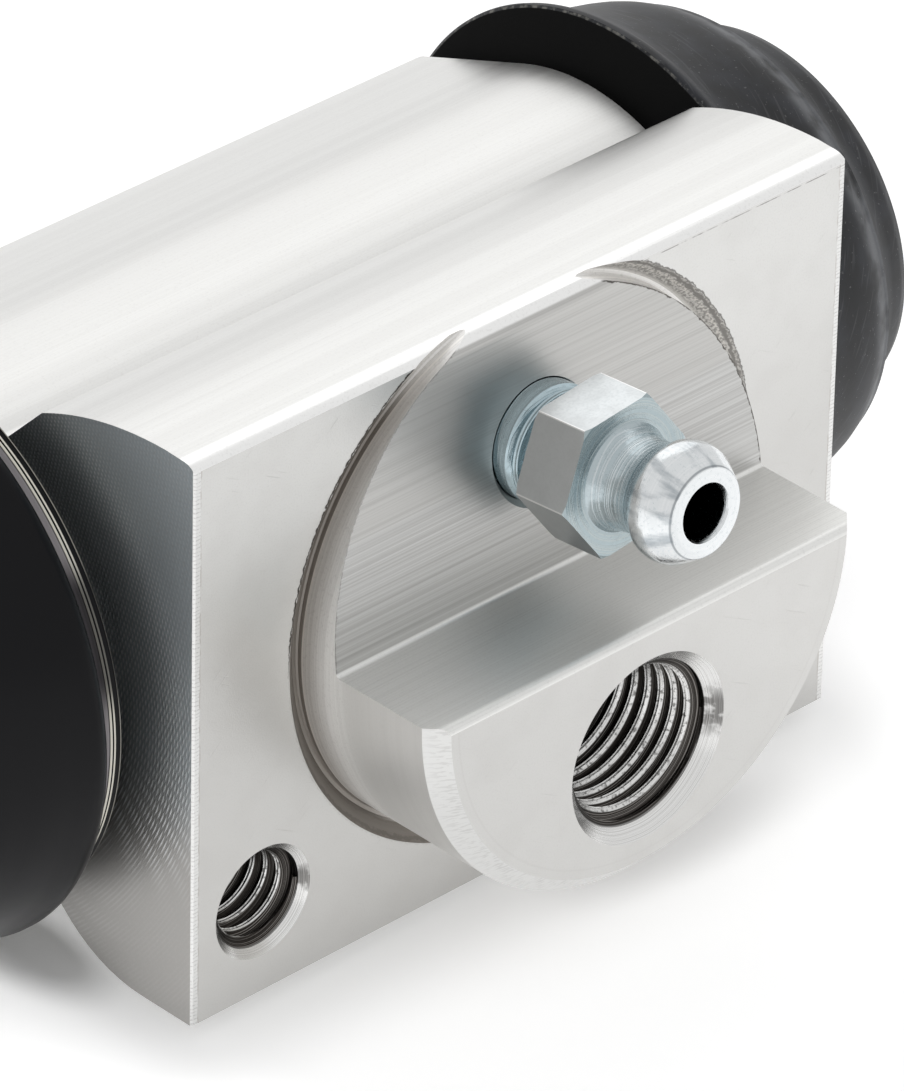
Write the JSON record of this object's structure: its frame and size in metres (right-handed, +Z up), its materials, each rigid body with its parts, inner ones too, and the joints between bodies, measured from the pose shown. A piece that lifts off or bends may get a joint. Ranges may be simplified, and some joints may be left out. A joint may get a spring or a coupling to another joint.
{
  "type": "wheel cylinder",
  "caption": "Drum brake wheel cylinder: extruded aluminium body with centring spigot and bleed screw, opposed slotted pistons with lip cups and return spring, and rubber dust boots.",
  "frame": {"origin": "axis of the centring spigot, in the plane of the mounting face", "axes": "+X along the bore, -Y out of the mounting face through the backing plate, +Z up towards the bleed screw"},
  "size_m": [0.0808, 0.0529, 0.037],
  "materials": {
    "body_aluminium": "mill finish with fine die lines, faced and turned where machined",
    "screw_zinc": "bright zinc plating over turned steel",
    "piston_aluminium": "turned and anodised",
    "cup_rubber": "smooth moulded rubber",
    "spreader_steel": "pressed steel, zinc plated",
    "spring_steel": "drawn spring wire",
    "boot_rubber": "moulded rubber, glossy on the folds and dusty at the waist"
  },
  "bodies": {
    "cylinder": {"cylinder_body": "body_aluminium", "dust_boot_left": "boot_rubber", "dust_boot_right": "boot_rubber", "return_spring": "spring_steel"},
    "left_piston": {"piston_left": "piston_aluminium", "piston_cup_left": "cup_rubber", "cup_spreader_left": "spreader_steel"},
    "right_piston": {"piston_right": "piston_aluminium", "piston_cup_right": "cup_rubber", "cup_spreader_right": "spreader_steel"},
    "bleeder": {"bleed_screw": "screw_zinc"}
  },
  "joints": [
    {"name": "left_piston_slide", "type": "slide", "parent": "cylinder", "child": "left_piston", "axis": [-1, 0, 0], "range_m": [-0.006, 0.004], "deforming": ["dust_boot_left", "return_spring"]},
    {"name": "right_piston_slide", "type": "slide", "parent": "cylinder", "child": "right_piston", "axis": [1, 0, 0], "range_m": [-0.006, 0.004], "deforming": ["dust_boot_right", "return_spring"]},
    {"name": "bleed_screw_turn", "type": "hinge", "parent": "cylinder", "child": "bleeder", "pos_m": [0, 0, 0.0077], "axis": [0, -0.9962, 0.0872], "range_deg": [0, 360]}
  ]
}
